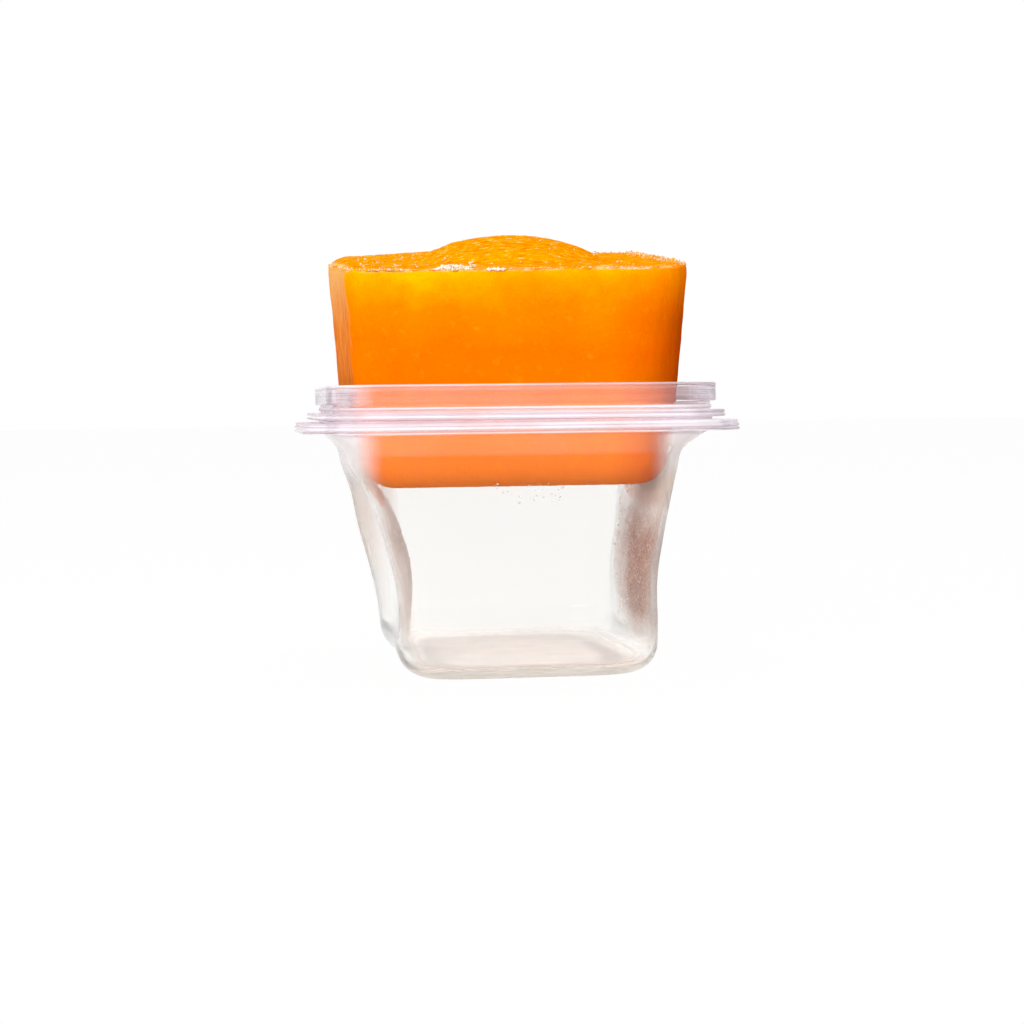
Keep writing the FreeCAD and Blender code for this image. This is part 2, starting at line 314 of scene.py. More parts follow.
def rounded_profile(corners, radius, steps=3):
    """Round each inner corner of a profile of (half, height) points."""
    out = [corners[0]]
    for before, here, after in zip(corners, corners[1:], corners[2:]):
        here = np.array(here, float)
        back, on = np.array(before) - here, np.array(after) - here
        cut = min(radius, 0.45 * np.linalg.norm(back), 0.45 * np.linalg.norm(on))
        start = here + back / np.linalg.norm(back) * cut
        end = here + on / np.linalg.norm(on) * cut
        for step in range(steps + 1):
            t = step / steps
            out.append(tuple((1 - t) ** 2 * start + 2 * t * (1 - t) * here + t ** 2 * end))
    out.append(corners[-1])
    return out


def moulded_edge(half, steps):
    return [(half - inset, height) for inset, height in steps]


def rim_profile():
    """The rim's outline from under the flange, over the collar and down to the mouth's wall."""
    corners = [(NECK_ROOT_HALF, FLANGE_LOW), *moulded_edge(FLANGE_HALF, FLANGE_EDGE),
               (NECK_HALF, FLANGE_TOP), (NECK_HALF, LEDGE_LOW - LEDGE_UNDERCUT),
               *moulded_edge(LEDGE_HALF, LEDGE_EDGE), (NECK_IN, LEDGE_TOP),
               (NECK_IN, BEAD_LOW), (BEAD_HALF, BEAD_LOW),
               (BEAD_HALF, BEAD_TOP), (NECK_IN, BEAD_TOP),
               (NECK_IN, COLLAR_LOW), *moulded_edge(COLLAR_HALF, COLLAR_EDGE),
               (MOUTH_HALF, RIM_TOP), (MOUTH_HALF, MOUTH_LOW)]
    return rounded_profile(corners, RIM_ROUNDING)


def heel(bottom, radius, inset, steps=10):
    """Levels of the rounded bottom edge, from the flat bottom up."""
    loops = []
    for step in range(steps + 1):
        turn = math.pi / 2 * step / steps
        height = bottom + radius * (1 - math.cos(turn))
        loops.append(body_loop(height, inset + radius * (1 - math.sin(turn)), at=0.0))
    return loops


def flat_rings(height, insets):
    return [body_loop(height, inset, at=0.0) for inset in insets]


def wall_levels(bottom, top, count):
    return [bottom + (top - bottom) * k / count for k in range(1, count + 1)]


def outside_loops():
    """The underside with its recess and foot, and the outer wall up to the flange."""
    recess = HEEL_RADIUS + FOOT_WIDE
    loops = flat_rings(FOOT_TALL, (*UNDER_RINGS, recess + 0.5, recess + 0.15))
    loops += flat_rings(FOOT_ROUNDING, (recess - 0.05,)) + flat_rings(0.0, (recess - 0.3,))
    loops += heel(0.0, HEEL_RADIUS, 0.0)
    loops += [body_loop(z) for z in wall_levels(HEEL_RADIUS, OUTER_TOP, OUTER_LEVELS)]
    for share, way_up in TURN_OUT:
        mixed = body_loop(OUTER_TOP) * (1 - share) + rim_loop(NECK_ROOT_HALF, FLANGE_LOW) * share
        mixed[:, 2] = OUTER_TOP + way_up * (FLANGE_LOW - OUTER_TOP)
        loops.append(mixed)
    return loops


def inside_loops():
    """The mouth, the inner wall and the floor, from the top down."""
    mouth = rim_loop(MOUTH_HALF, MOUTH_LOW)
    inner_top = body_loop(INNER_TOP, WALL)
    loops = [mouth * (1 - share) + inner_top * share for share in MOUTH_TURN]
    radius = HEEL_RADIUS - WALL
    low = FLOOR_TOP + radius
    levels = [low] + wall_levels(low, INNER_TOP, INNER_LEVELS)
    loops += [body_loop(z, WALL) for z in reversed(levels)]
    loops += heel(FLOOR_TOP, radius, WALL)[::-1][1:]
    return loops + flat_rings(FLOOR_TOP, (WALL + radius + 2, *FLOOR_RINGS))


def build_cup():
    """The cup as one closed skin: underside, outer wall, rim, inner wall and floor."""
    rim = [rim_loop(half, z) for half, z in rim_profile()]
    cup = object_from_loops("freezer_cup_moulding", outside_loops() + rim + inside_loops())
    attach(cup, "cup")
    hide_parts("freezer_cup")
    return cup


# ---------------------------------------------------------------- the frozen block


def block_half_at(rise):
    """The block's half width at a height above its underside."""
    half = BLOCK_HALF + rise * BLOCK_TAPER
    if rise >= BLOCK_FOOT:
        return half
    return half - BLOCK_FOOT + math.sqrt(max(BLOCK_FOOT ** 2 - (BLOCK_FOOT - rise) ** 2, 0))


def top_height(x, y):
    """Height of the block's top above its underside: a slope up to the back and a dome."""
    middle = (BLOCK_FRONT + BLOCK_BACK) / 2
    plane = middle + (BLOCK_BACK - BLOCK_FRONT) * y / (2 * BLOCK_HALF) + BLOCK_ROLL * x
    to_back = np.clip((y - BACK_RISE_START) / BACK_RISE_RUN, 0, 1)
    plane = plane + np.interp(x, *zip(*BACK_RISE)) * to_back
    inside = np.maximum(1 - ((x - DOME_SHIFT) ** 2 + y ** 2) / DOME_WIDE ** 2, 0)
    dome = middle + DOME_ABOVE - DOME_TALL + DOME_TALL * np.sqrt(inside)
    return np.logaddexp(plane * DOME_SHARP, dome * DOME_SHARP) / DOME_SHARP


def foot_loops(turn):
    """The block's underside and its rounded foot."""
    loops = []
    for share in UNDER_SHARES:
        x, y = rounded_square((BLOCK_HALF - BLOCK_FOOT) * share, BLOCK_FOOT_CORNER * share, turn)
        loops.append(ring(x, y, 0.0))
    for k in range(FOOT_LEVELS + 1):
        rise = BLOCK_FOOT * (1 - math.cos(math.pi / 2 * k / FOOT_LEVELS))
        half = block_half_at(rise)
        drawn_in = BLOCK_HALF + rise * BLOCK_TAPER - half
        x, y = rounded_square(half, max(BLOCK_CORNER - drawn_in, BLOCK_FOOT_CORNER), turn)
        loops.append(ring(x, y, rise))
    return loops


def side_loops(turn):
    """The block's sides: level at the foot, and following the sloping top at the top."""
    loops = []
    for k in range(1, SIDE_LEVELS + 1):
        share = k / SIDE_LEVELS
        rise = BLOCK_FOOT + share * (BLOCK_BACK - BLOCK_FOOT)
        x, y = rounded_square(block_half_at(rise), BLOCK_CORNER, turn)
        top = top_height(x, y) - BLOCK_EDGE
        z = BLOCK_FOOT + share * (top - BLOCK_FOOT)
        half = BLOCK_HALF + z * BLOCK_TAPER
        x, y = x * half / block_half_at(rise), y * half / block_half_at(rise)
        loops.append(ring(x, y, z))
    return loops


def edge_loops(rim):
    """The block's rounded top edge, from the last ring of its sides."""
    loops = []
    for k in range(1, EDGE_LEVELS + 1):
        bend = math.pi / 2 * k / EDGE_LEVELS
        scale = 1 - BLOCK_EDGE * (1 - math.cos(bend)) / BLOCK_HALF
        x, y = rim[:, 0] * scale, rim[:, 1] * scale
        loops.append(ring(x, y, top_height(x, y) - BLOCK_EDGE * (1 - math.sin(bend))))
    return loops


def top_loops(rim):
    """The block's top, from the last ring of its edge to the middle."""
    loops = []
    for share in np.linspace(1, 0.02, TOP_RINGS)[1:]:
        x, y = rim[:, 0] * share, rim[:, 1] * share
        loops.append(ring(x, y, top_height(x, y)))
    return loops


def build_block():
    turn = turns(AROUND_BLOCK)
    loops = foot_loops(turn) + side_loops(turn)
    loops += edge_loops(loops[-1])
    loops += top_loops(loops[-1])
    block = object_from_loops("frozen_puree", [loop + BLOCK_PLACE for loop in loops])
    roughen_block(block.data)
    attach(block, "block")
    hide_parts("puree_block")
    return block


def near_edge(reach, half, width):
    """One at the block's outline and beyond, falling to zero over a width inside it."""
    return np.clip((reach - half + width) / width, 0, 1)


def block_relief(points, normals, rise, at_edge, crumbs):
    """How far each point of the block moves out along its normal, in millimetres."""
    above_rim = np.clip((rise - RIM_CROSSING) / RIM_CROSSING_FADE, 0, 1)
    on_top = np.clip(normals[:, 2] * 2, 0, 1) * (rise > RIM_CROSSING + RIM_CROSSING_FADE)
    on_side = np.clip(abs(normals[:, 0]) * 3 - 1.6, 0, 1) * above_rim
    hollows = smooth_noise(points, scale=14, seed=3)
    torn = smooth_noise(points, scale=7, seed=6)
    strands = smooth_noise(points * ALONG_X, scale=2.0, seed=7)
    grains = smooth_noise(points, scale=1.2, seed=8)
    scores = smooth_noise(points * ALONG_Z, scale=1.7, seed=9)
    relief = -0.14 + 0.12 * hollows * (0.3 + 0.7 * above_rim)
    relief += at_edge * (0.34 * crumbs + 0.3 * torn - 0.45)
    relief += on_top * (0.14 * strands + 0.10 * grains + 0.04)
    relief += on_side * (0.16 * scores - 0.12)
    return relief


def roughen_block(mesh):
    """Uneven frozen faces: soft hollows, a crumbly top edge, a stranded top and scored sides."""
    points = read_vectors(mesh, "co") / MM
    normals = read_vectors(mesh, "normal")
    local = points - BLOCK_PLACE
    reach = np.maximum(abs(local[:, 0]), abs(local[:, 1]))
    half = BLOCK_HALF + local[:, 2] * BLOCK_TAPER
    below_top = top_height(local[:, 0], local[:, 1]) - local[:, 2]
    at_edge = np.clip(1 - below_top / CRUMBLY_TALL, 0, 1) * near_edge(reach, half, CRUMBLY_WIDE)
    crumbs = smooth_noise(points, scale=1.6, seed=5)
    points += normals * block_relief(points, normals, local[:, 2], at_edge, crumbs)[:, None]
    points[:, 2] = np.minimum(points[:, 2], CAD_BOX[1][2] / MM)
    mesh.vertices.foreach_set("co", (points * MM).ravel())
    mesh.update()

    patchy = np.clip(0.4 + smooth_noise(points, scale=9, seed=12), 0, 1)
    lip = np.clip(1.2 - below_top / FROSTY_TALL, 0, 1) * near_edge(reach, half, FROSTY_WIDE)
    store(mesh, "frost", np.clip(lip * patchy * (0.5 + 1.2 * crumbs), 0, 0.7))


# ---------------------------------------------------------------- crumbs, frost and water beads

# Part of the top edge (degrees round from +X, start and end), crumbs on it, their usual size in
# millimetres, how far they stand up and how frosted they are.
CRUMBLED = (
    (-46, 40, 900, 0.17, 0.70, 0.45),
    (205, 236, 420, 0.16, 0.25, 0.50),
    (140, 205, 260, 0.15, 0.20, 0.35),
    (40, 60, 90, 0.14, 0.25, 0.30),
    (236, 314, 360, 0.12, 0.05, 0.40),
)
CRUMB_MOST = 0.6          # no crumb is larger
CRUMB_INWARD = 0.35       # least distance in from the edge
CRUMB_LIFT = 0.2
EDGE_REACH = 36           # about how far the top edge is from the middle
# Frost along the front top edge: from and to along X, lumps in it, how high it is heaped and how
# far in from the edge.
FROSTED = ((-18.0, -10.2, 270, 1.0, 0.7), (-11.2, -9.2, 16, 1.9, 0.9), (-7.0, -3.4, 46, 0.1, 0.1))
FROST_SIZE = np.array([0.26, 0.22, 0.19])
FRONT_EDGE = -BLOCK_HALF - 3.4    # place of the front top edge along Y
FLECKS = 200
FLECK_SIZE = np.array([0.24, 0.12, 0.13])
FLECK_SINK, FLECK_HEADROOM = 0.1, 0.5     # into the top, and least room under the box's top
# Water beads on the inside of the cup: directions (degrees round from +X), heights, beads and
# their usual size.
BEADED = (
    (-42, 20, 7.0, 42.0, 420, 0.14),
    (150, 222, 7.0, 42.0, 340, 0.14),
    (260.5, 281, 36.8, 41.4, 34, 0.15),
)
BEAD_SHAPE = np.array([1, 1, 0.55])
BEAD_MOST = 0.42          # no small bead is larger
LARGE_BEAD_TURN = -51.5
LARGE_BEAD_HEIGHT = 48.1
LARGE_BEAD_SIZE = np.array([0.55, 0.9, 0.45])


def unit_ball(fineness):
    ball = bmesh.new()
    bmesh.ops.create_icosphere(ball, subdivisions=fineness, radius=1.0)
    points = np.array([vertex.co[:] for vertex in ball.verts])
    faces = np.array([[vertex.index for vertex in face.verts] for face in ball.faces])
    ball.free()
    return points, faces


def many_lumps(name, centres, sizes, axes, fineness, roughness, rng):
    """One mesh of many small lumps, each a ball stretched along its own axes and made uneven."""
    ball, faces = unit_ball(fineness)
    points = []
    for centre, size, axis in zip(centres, sizes, axes):
        uneven = 1 + roughness * rng.normal(size=(len(ball), 1))
        points.append((ball * uneven * size) @ axis + centre)
    indices = [faces + index * len(ball) for index in range(len(points))]
    return smooth_object(name, np.concatenate(points), np.concatenate(indices).tolist())


def frost_lumps(piece, frost):
    """Keep how frosted each lump is on all of its points."""
    mesh = piece.data
    store(mesh, "frost", np.repeat(frost, len(mesh.vertices) // len(frost)))


def any_axes(rng, count):
    """Axes turned every way."""
    return [np.linalg.qr(rng.normal(size=(3, 3)))[0] for _ in range(count)]


def top_edge(turn):
    """Points along the block's top edge, in the block's own place."""
    half = np.full_like(turn, BLOCK_HALF + BLOCK_FRONT * BLOCK_TAPER)
    for _ in range(4):
        x, y = rounded_square(half, BLOCK_CORNER, turn)
        rise = top_height(x, y) - 0.5
        half = BLOCK_HALF + rise * BLOCK_TAPER
    return ring(x, y, rise)


def on_block(piece):
    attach(piece, "block")
    return piece


def build_crumbs():
    """Torn crumbs of puree along the block's top edge."""
    rng = np.random.default_rng(21)
    centres, sizes, frost = [], [], []
    for start, end, count, usual, stand, frosted in CRUMBLED:
        turn = np.radians(rng.uniform(start, end, count))
        edge = top_edge(turn)
        inward = CRUMB_INWARD + rng.exponential(0.9, count)
        edge[:, :2] *= (1 - inward / EDGE_REACH)[:, None]
        edge[:, 2] += CRUMB_LIFT + stand * rng.uniform(-0.6, 1.0, count) ** 3
        centres.append(edge + BLOCK_PLACE)
        sizes.append(usual * rng.lognormal(0, 0.45, (count, 3)))
        frost.append(frosted * rng.uniform(0, 1.4, count) ** 2)
    centres, frost = np.concatenate(centres), np.concatenate(frost)
    sizes = np.minimum(np.concatenate(sizes), CRUMB_MOST)
    axes = any_axes(rng, len(centres))
    piece = many_lumps("torn_crumbs", centres, sizes, axes, 1, 0.22, rng)
    frost_lumps(piece, np.minimum(frost, 0.9))
    return on_block(piece)


def build_frost():
    """White frost heaped on the front top edge, and flecks of it all over the top."""
    rng = np.random.default_rng(22)
    centres, sizes = [], []
    for start, end, count, heap, inward in FROSTED:
        x = rng.uniform(start, end, count)
        edge = top_edge(np.arctan2(FRONT_EDGE, x))
        edge[:, 1] += inward * (1 + rng.exponential(1.0, count))
        middle = 1 - (2 * (x - start) / (end - start) - 1) ** 2
        edge[:, 2] += inward * 0.1 + heap * middle * rng.uniform(0, 1, count)
        centres.append(edge + BLOCK_PLACE)
        sizes.append(FROST_SIZE * rng.lognormal(0, 0.4, (count, 3)))
    x = BLOCK_HALF * (2 * rng.beta(1.4, 2.0, FLECKS) - 1)
    y = rng.uniform(-BLOCK_HALF, BLOCK_HALF, FLECKS)
    most = CAD_BOX[1][2] / MM - BLOCK_LOW - FLECK_HEADROOM
    surface = np.minimum(top_height(x, y) - FLECK_SINK, most)
    centres.append(ring(x, y, surface) + BLOCK_PLACE)
    sizes.append(FLECK_SIZE * rng.lognormal(0, 0.45, (FLECKS, 3)))
    centres, sizes = np.concatenate(centres), np.concatenate(sizes)
    axes = [np.eye(3)] * len(centres)
    piece = many_lumps("frost_heaps", centres, sizes, axes, 1, 0.2, rng)
    frost = np.full(len(centres), 0.95)
    frost[-FLECKS:] = rng.uniform(0.2, 0.95, FLECKS)
    frost_lumps(piece, frost)
    return on_block(piece)


def wall_frame(turn, height, inset):
    """A point on a wall of the cup with its axes: along, up and out."""
    step = 0.02
    here = body_loop(height, inset, turn=turn)
    along = body_loop(height, inset, turn=turn + step) - body_loop(height, inset, turn=turn - step)
    up = body_loop(height + 0.5, inset, turn=turn) - body_loop(height - 0.5, inset, turn=turn)
    out = np.cross(along, up)
    axes = np.stack([v / np.linalg.norm(v) for v in (along[0], up[0], out[0])])
    return here[0], axes


def build_beads():
    """Condensed water on the squeezed walls and under the block, and one large bead outside."""
    rng = np.random.default_rng(23)
    frames, sizes = [], []
    for start, end, low, high, count, usual in BEADED:
        for _ in range(count):
            turn = np.radians([rng.uniform(start, end)])
            frames.append(wall_frame(turn, rng.uniform(low, high), WALL))
            sizes.append(min(usual * rng.lognormal(0, 0.4), BEAD_MOST) * BEAD_SHAPE)
    frames.append(wall_frame(np.radians([LARGE_BEAD_TURN]), LARGE_BEAD_HEIGHT, 0.0))
    sizes.append(LARGE_BEAD_SIZE)
    centres, axes = zip(*frames)
    piece = many_lumps("water_beads", centres, sizes, axes, 2, 0.0, rng)
    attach(piece, "cup")
    return piece


# ---------------------------------------------------------------- material helpers


def linear(*rgb):
    """A colour picked as it looks (0 to 255) as the linear values that a shader takes."""
    values = []
    for channel in rgb:
        c = channel / 255
        values.append(c / 12.92 if c <= 0.04045 else ((c + 0.055) / 1.055) ** 2.4)
    return (*values, 1.0)


def grey(value):
    return (value, value, value, 1.0)


class Nodes:
    """Small help for building a node tree."""

    def __init__(self, name):
        self.material = bpy.data.materials.new(name)
        self.material.use_nodes = True
        self.tree = self.material.node_tree
        self.tree.nodes.clear()
        self.output = self.add("ShaderNodeOutputMaterial")

    def add(self, kind, **settings):
        """A new node with its inputs or settings given by name."""
        node = self.tree.nodes.new(kind)
        for key, value in settings.items():
            if key in node.inputs:
                node.inputs[key].default_value = value
            else:
                setattr(node, key, value)
        return node

    def link(self, source, target):
        self.tree.links.new(source, target)

    def position(self):
        return self.add("ShaderNodeTexCoord").outputs["Object"]

    def normal(self):
        return self.split(self.add("ShaderNodeNewGeometry").outputs["Normal"])

    def scaled(self, vector, scale, rotation=(0.0, 0.0, 0.0)):
        """A place stretched, and turned, for a texture that runs in one direction."""
        node = self.add("ShaderNodeMapping")
        node.inputs["Scale"].default_value = scale
        node.inputs["Rotation"].default_value = rotation
        self.link(vector, node.inputs["Vector"])
        return node.outputs["Vector"]

    def noise(self, vector, scale, detail=4.0, roughness=0.55):
        node = self.add("ShaderNodeTexNoise", Scale=scale, Detail=detail, Roughness=roughness)
        self.link(vector, node.inputs["Vector"])
        return node.outputs["Fac"]

    def ramp(self, value, *stops):
        """A colour from a number, by stops of position and colour."""
        node = self.add("ShaderNodeValToRGB")
        elements = node.color_ramp.elements
        while len(elements) < len(stops):
            elements.new(0.5)
        for element, (position, colour) in zip(elements, stops):
            element.position = position
            element.color = colour
        self.link(value, node.inputs["Fac"])
        return node.outputs["Color"]

    def spread(self, value, low, high, out_low=0.0, out_high=1.0):
        """A number that goes from out_low to out_high as the value goes from low to high."""
        node = self.add("ShaderNodeMapRange")
        node.inputs["From Min"].default_value = low
        node.inputs["From Max"].default_value = high
        node.inputs["To Min"].default_value = out_low
        node.inputs["To Max"].default_value = out_high
        self.link(value, node.inputs["Value"])
        return node.outputs["Result"]

    def split(self, vector):
        node = self.add("ShaderNodeSeparateXYZ")
        self.link(vector, node.inputs["Vector"])
        return node.outputs["X"], node.outputs["Y"], node.outputs["Z"]

    def maths(self, operation, first, second):
        node = self.add("ShaderNodeMath", operation=operation)
        for socket, value in zip(node.inputs, (first, second)):
            if isinstance(value, (int, float)):
                socket.default_value = value
            else:
                self.link(value, socket)
        return node.outputs["Value"]

    def times(self, first, *others):
        for other in others:
            first = self.maths("MULTIPLY", first, other)
        return first

    def plus(self, first, *others):
        for other in others:
            first = self.maths("ADD", first, other)
        return first

    def between(self, factor, first, second):
        """A number that runs from the first to the second as the factor rises."""
        step = self.maths("SUBTRACT", second, first)
        return self.plus(first, self.times(factor, step))

    def mix(self, factor, first, second):
        """A colour that runs from the first to the second as the factor rises."""
        node = self.add("ShaderNodeMix", data_type="RGBA")
        self.link(factor, node.inputs["Factor"])
        for name, value in (("A", first), ("B", second)):
            socket = next(s for s in node.inputs if s.name == name and s.type == "RGBA")
            if isinstance(value, tuple):
                socket.default_value = value
            else:
                self.link(value, socket)
        return next(s for s in node.outputs if s.type == "RGBA")

    def mix_shaders(self, factor, first, second):
        node = self.add("ShaderNodeMixShader")
        if isinstance(factor, float):
            node.inputs["Fac"].default_value = factor
        else:
            self.link(factor, node.inputs["Fac"])
        self.link(first, node.inputs[1])
        self.link(second, node.inputs[2])
        return node.outputs["Shader"]

    def bump(self, height, strength, distance):
        node = self.add("ShaderNodeBump", Strength=strength, Distance=distance)
        self.link(height, node.inputs["Height"])
        return node.outputs["Normal"]

    def finish(self, shader):
        """The finished material, with this shader as its surface."""
        self.link(shader, self.output.inputs["Surface"])
        return self.material


# ---------------------------------------------------------------- the cup's material

CUP_IOR = 1.2
CLEAR_WARM, CLEAR_COOL = (0.985, 0.98, 0.97, 1), (0.97, 0.955, 0.975, 1)
SHADOW_TINT = (0.94, 0.94, 0.94, 1)
DEPTH_TINT, DEPTH_DENSITY = (0.60, 0.57, 0.55, 1), 5.0

# Shares that depend on a place: where each starts and where it is full, in metres, and then its
# two ends if they aren't 0 and 1. Two in one line are for the left and the right side.
CLEAR_COOLS = (0.045, 0.052)
RIGHT_HALF = (-0.002, 0.002)
FOG_FACING = (0.45, 0.85)         # of the normal
FOG_FROM_FOOT, FOG_FROM_TOP = (0.003, 0.012), (0.044, 0.028)
FOG_FROM_BACK = (0.012, -0.006), (0.013, -0.010)
FOG_TO_FRONT = (-0.033, -0.018, 0.3, 1.0), (-0.036, -0.027, 0.4, 1.0)
# The right wall gets more of the fog, partly as painted shade of the thumb.
RIGHT_FOG_MORE = 0.20
FRONT_STARTS = (-0.0265, -0.0285)
WALL_STARTS, NECK_STARTS, RIM_STARTS = (0.012, 0.030), (0.041, 0.046), (0.0505, 0.0520)
COLLAR_FROM, COLLAR_TO = (0.0580, 0.0588), (0.0610, 0.0604)
COLLAR_SIDES = (0.034, 0.037)
LIPS = (0.0416, 0.0426, 0.0, 0.30)
LEFT_BESIDE, RIGHT_BESIDE = (-0.0298, -0.0362), (0.0240, 0.0300)
LEFT_BESIDE_FROM, RIGHT_BESIDE_FROM = (0.037, 0.041, 0, 0.80), (0.034, 0.040, 0, 0.55)
LEFT_BESIDE_BEND, RIGHT_BESIDE_BEND = 2.0, 2.5
BESIDE_IN_FRONT, BESIDE_BELOW_RIM = (0.0, -0.010), (0.0522, 0.0510)
RIM_SIDES, RIM_SIDES_FROM = (0.0320, 0.0360), (0.0575, 0.058, 0, 0.25)
FAR_BACK, FAR_LEFT = (0.018, 0.030), (-0.022, -0.029, 0, 0.36)

# Colours of the haze: left and right side of the cup for the fog, then from the foot up.
# The fog's grey brown is partly painted shade of the squeezing fingers and thumb, darkest on the
# right.
FOG_SHADE_DARK = linear(166, 134, 120), linear(148, 106, 90)
FOG_SHADE_LIGHT = linear(232, 218, 210), linear(212, 186, 170)
FLOOR_HAZE, FRONT_HAZE = linear(247, 250, 248), linear(252, 245, 236)
WALL_HAZE, NECK_HAZE = linear(232, 218, 206), linear(246, 241, 239)
RIM_PALE, RIM_LINE = linear(247, 244, 248), linear(217, 201, 211)
# A bluish grey painted refraction of something dark, at the collar's corners.
COLLAR_PAINTED_REFRACTION = linear(186, 184, 204)

# How milky the cup is at a height: height in millimetres, share of haze in each surface.
HAZE_LEVELS = (
    (0.0, 0.80), (1.2, 0.60), (2.15, 0.42), (2.5, 0.28), (3.0, 0.06), (6.5, 0.03),
    (9.0, 0.012), (44.0, 0.010), (47.0, 0.010),
    (47.7, 0.042), (51.75, 0.050), (51.85, 0.55), (52.05, 0.55), (52.15, 0.03), (52.6, 0.03),
    (52.75, 0.58), (56.0, 0.58), (56.2, 0.34), (56.75, 0.34), (56.85, 0.75), (57.15, 0.75),
    (57.25, 0.08), (60.85, 0.075), (61.0, 0.18), (61.2, 0.18), (61.35, 0.09), (61.6, 0.12),
    (61.8, 0.50), (62.0, 0.55),
)


def clear_plastic(n, place, height):
    """The clear part of the plastic: a little warm below the rim and cool in it."""
    clear = n.add("ShaderNodeBsdfPrincipled", Roughness=0.04, IOR=CUP_IOR)
    clear.inputs["Transmission Weight"].default_value = 1.0
    tint = n.mix(n.spread(height, *CLEAR_COOLS), CLEAR_WARM, CLEAR_COOL)
    n.link(tint, clear.inputs["Base Color"])
    n.link(n.bump(n.noise(place, 900, 2.0), 0.08, 0.0002), clear.inputs["Normal"])
    return clear.outputs["BSDF"]


def fog_share(n, y, height, on_right):
    """Where the two squeezed walls are fogged: between their back and their front corners."""
    facing_x = n.maths("ABSOLUTE", n.normal()[0], 0)
    walls = n.times(n.spread(facing_x, *FOG_FACING), n.spread(height, *FOG_FROM_FOOT),
                    n.spread(height, *FOG_FROM_TOP))
    from_back = n.between(on_right, *(n.spread(y, *ends) for ends in FOG_FROM_BACK))
    to_front = n.between(on_right, *(n.spread(y, *ends) for ends in FOG_TO_FRONT))
    return n.times(walls, n.times(from_back, to_front))


def rim_colour(n, place, aside, height):
    """The rim's haze: fine level lines, and a bluish painted refraction of something dark at the
    collar's corners.
    """
    level = n.scaled(place, (0.002, 0.002, 1.0))
    lines = n.spread(n.noise(level, 2300, 2.0), 0.44, 0.58)
    collar = n.times(n.spread(height, *COLLAR_FROM), n.spread(height, *COLLAR_TO))
    # painted refraction of something dark in the collar's corners
    dark_refraction = n.times(collar, n.spread(n.noise(place, 160, 2.0), 0.45, 0.6),
                     n.spread(aside, *COLLAR_SIDES))
    return n.mix(dark_refraction, n.mix(lines, RIM_PALE, RIM_LINE), COLLAR_PAINTED_REFRACTION)


def haze_colour(n, place, y, aside, height, fogged, on_right):
    """The colour of the milky part of the plastic: fog, foot, walls, neck and rim."""
    beads = n.spread(n.noise(place, 1900, 2.0, 0.7), 0.51, 0.63)
    # fog colour, partly painted shade of the squeezing hand
    fog = n.mix(beads, n.mix(on_right, *FOG_SHADE_DARK), n.mix(on_right, *FOG_SHADE_LIGHT))
    foot = n.mix(n.spread(y, *FRONT_STARTS), FLOOR_HAZE, FRONT_HAZE)
    plain = n.mix(n.spread(height, *WALL_STARTS), foot, WALL_HAZE)
    plain = n.mix(n.spread(height, *NECK_STARTS), plain, NECK_HAZE)
    plain = n.mix(n.spread(height, *RIM_STARTS), plain, rim_colour(n, place, aside, height))
    return n.mix(fogged, plain, fog)


def corner_haze(n, x, y, aside, height):
    """More haze where the plastic is seen edge on: beside the block, in the collar's corners
    and in the far left corner."""
    left = n.times(n.maths("POWER", n.spread(x, *LEFT_BESIDE), LEFT_BESIDE_BEND),
                   n.spread(height, *LEFT_BESIDE_FROM))
    right = n.times(n.maths("POWER", n.spread(x, *RIGHT_BESIDE), RIGHT_BESIDE_BEND),
                    n.spread(height, *RIGHT_BESIDE_FROM))
    beside = n.times(n.plus(left, right), n.spread(y, *BESIDE_IN_FRONT),
                     n.spread(height, *BESIDE_BELOW_RIM))
    ends = n.times(n.spread(aside, *RIM_SIDES), n.spread(height, *RIM_SIDES_FROM))
    far = n.times(n.spread(y, *FAR_BACK), n.spread(x, *FAR_LEFT))
    return n.plus(beside, ends, far)


def haze_share(n, place, x, y, aside, height, fogged, on_right):
    """How milky the plastic is: by height, on the lips, in the fog and in the corners."""
    level = n.maths("DIVIDE", height, RIM_TOP * MM)
    by_height = n.ramp(level, *((stop / RIM_TOP, grey(share)) for stop, share in HAZE_LEVELS))
    reach = n.maths("MAXIMUM", aside, n.maths("ABSOLUTE", y, 0))
    lips = n.spread(reach, *LIPS)
    patches = n.spread(n.noise(place, 110, 4.0), 0.36, 0.62, 0.38, 0.62)
    fog = n.times(fogged, n.plus(patches, n.times(on_right, RIGHT_FOG_MORE)))
    corners = corner_haze(n, x, y, aside, height)
    cloud = n.spread(n.noise(place, 60, 5.0), 0.35, 0.7, 0.85, 1.2)
    return n.times(n.plus(by_height, fog, corners, lips), cloud)


def let_light_through(n, shader):
    """The same shader, but almost clear where light passes to what lies behind."""
    path = n.add("ShaderNodeLightPath")
    through = n.add("ShaderNodeBsdfTransparent")
    through.inputs["Color"].default_value = SHADOW_TINT
    return n.mix_shaders(path.outputs["Is Shadow Ray"], shader, through.outputs["BSDF"])


